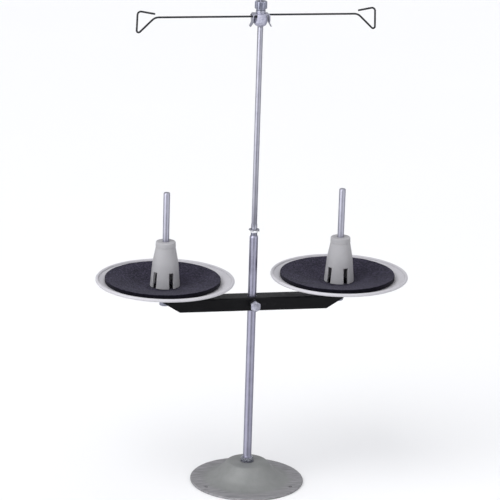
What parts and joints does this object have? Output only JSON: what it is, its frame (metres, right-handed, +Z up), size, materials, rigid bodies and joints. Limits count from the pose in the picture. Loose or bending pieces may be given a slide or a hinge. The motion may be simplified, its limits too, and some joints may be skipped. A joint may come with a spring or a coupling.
{
  "type": "two-cone thread stand",
  "caption": "Free-standing thread stand: round pressed base, telescopic mast, clamped crossbar with dished spool plates and pins, and a guide head with eyelet wires.",
  "frame": {"origin": "middle of the base's underside, on the mast's axis", "axes": "+Z up along the mast; X along the crossbar, +X to its right end; the clamp bolt faces -Y"},
  "size_m": [0.342, 0.15, 0.5422],
  "materials": {
    "base_paint": "satin hammered paint, grey-green",
    "zinc_steel": "bright zinc plate with a faint blue tint",
    "dark_steel": "oiled spring steel",
    "black_paint": "satin black paint",
    "black_wire": "satin black coated wire",
    "plate_plastic": "off-white moulded plastic, lightly satin",
    "adapter_plastic": "warm light grey moulded plastic",
    "foam": "charcoal open-cell foam",
    "nylon": "natural nylon"
  },
  "bodies": {
    "base": {"base_plate": "base_paint", "foot_washer": "dark_steel", "foot_nut": "zinc_steel", "under_washer": "zinc_steel", "under_nut": "zinc_steel", "lower_tube": "zinc_steel", "mast_washer": "nylon"},
    "mast_rod": {"upper_rod": "zinc_steel", "rod_guide": "nylon", "stop_clip": "dark_steel"},
    "guide_head": {"guide_block": "zinc_steel", "guide_saddle": "zinc_steel", "lock_collar": "zinc_steel"},
    "wire_left": {"guide_wire_left": "black_wire"},
    "wire_right": {"guide_wire_right": "black_wire"},
    "knob": {"thumb_knob": "zinc_steel"},
    "sleeve": {"clamp_sleeve": "dark_steel"},
    "spool_bar": {"crossbar": "black_paint", "clamp_nut": "black_paint", "spool_plate_left": "plate_plastic", "foam_pad_left": "foam", "spool_pin_left": "zinc_steel", "pin_top_washer_left": "zinc_steel", "pin_top_nut_left": "zinc_steel", "pin_under_washer_left": "zinc_steel", "pin_under_nut_left": "zinc_steel", "spool_plate_right": "plate_plastic", "foam_pad_right": "foam", "spool_pin_right": "zinc_steel", "pin_top_washer_right": "zinc_steel", "pin_top_nut_right": "zinc_steel", "pin_under_washer_right": "zinc_steel", "pin_under_nut_right": "zinc_steel"},
    "bolt": {"clamp_bolt": "zinc_steel"},
    "adapter_left": {"cone_adapter_left": "adapter_plastic"},
    "adapter_right": {"cone_adapter_right": "adapter_plastic"}
  },
  "joints": [
    {"name": "rod_height", "type": "slide", "parent": "base", "child": "mast_rod", "axis": [0, 0, 1], "range_m": [0, 0.065]},
    {"name": "head_turn", "type": "hinge", "parent": "mast_rod", "child": "guide_head", "pos_m": [0, 0, 0.5206], "axis": [0, 0, 1], "continuous": true},
    {"name": "wire_left_reach", "type": "slide", "parent": "guide_head", "child": "wire_left", "axis": [-1, 0, 0], "range_m": [-0.06, 0.004]},
    {"name": "wire_right_reach", "type": "slide", "parent": "guide_head", "child": "wire_right", "axis": [1, 0, 0], "range_m": [-0.06, 0.004]},
    {"name": "knob_turn", "type": "hinge", "parent": "mast_rod", "child": "knob", "pos_m": [0, 0, 0.5345], "axis": [0, 0, 1], "continuous": true},
    {"name": "bar_height", "type": "slide", "parent": "base", "child": "sleeve", "axis": [0, 0, 1], "range_m": [-0.15, 0.06]},
    {"name": "bar_swivel", "type": "hinge", "parent": "sleeve", "child": "spool_bar", "pos_m": [0, 0, 0.214], "axis": [0, 0, 1], "continuous": true},
    {"name": "bolt_turn", "type": "hinge", "parent": "spool_bar", "child": "bolt", "pos_m": [0, -0.0185, 0.2088], "axis": [0, -1, 0], "continuous": true},
    {"name": "adapter_left_lift", "type": "slide", "parent": "spool_bar", "child": "adapter_left", "axis": [0, 0, 1], "range_m": [0, 0.05]},
    {"name": "adapter_right_lift", "type": "slide", "parent": "spool_bar", "child": "adapter_right", "axis": [0, 0, 1], "range_m": [0, 0.05]}
  ]
}
